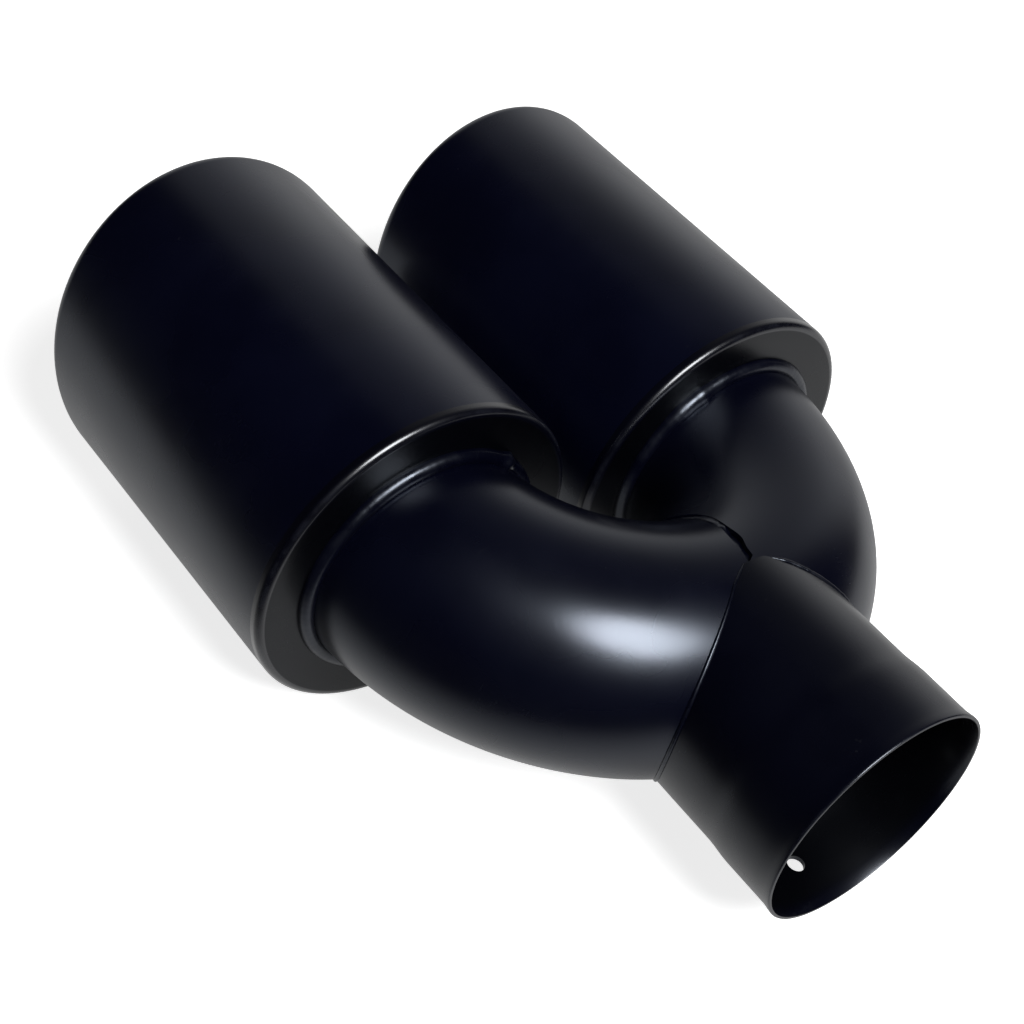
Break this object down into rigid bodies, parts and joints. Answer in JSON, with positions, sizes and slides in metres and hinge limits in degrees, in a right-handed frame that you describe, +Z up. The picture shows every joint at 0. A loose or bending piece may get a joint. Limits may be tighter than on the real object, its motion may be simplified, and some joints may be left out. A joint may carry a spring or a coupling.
{
  "type": "exhaust tip",
  "caption": "Twin exhaust tip: an inlet pipe splits into two bent elbows that feed two slant-cut, double-walled round cans with rolled lips.",
  "frame": {"origin": "on the inlet's axis, inside its socket, where the axis of the fixing screw crosses it", "axes": "+Z up, +Y along the cans towards the outlets, +X across both cans"},
  "size_m": [0.1878, 0.2226, 0.0888],
  "materials": {
    "can_paint": "satin black paint over sheet steel",
    "plate_paint": "satin black paint over pressed sheet",
    "elbow_paint": "satin black paint over bent tube",
    "inlet_paint": "satin black paint, thin at the cut rim",
    "liner_paint": "matt black paint",
    "weld_paint": "satin black paint over a weld bead"
  },
  "bodies": {
    "root": {"left_can": "can_paint", "right_can": "can_paint", "left_end_plate": "plate_paint", "right_end_plate": "plate_paint", "left_liner": "liner_paint", "right_liner": "liner_paint", "left_elbow": "elbow_paint", "right_elbow": "elbow_paint", "inlet_pipe": "inlet_paint", "left_ring_weld": "weld_paint", "right_ring_weld": "weld_paint", "seam_weld": "weld_paint", "left_inlet_weld": "weld_paint", "right_inlet_weld": "weld_paint"}
  },
  "joints": []
}
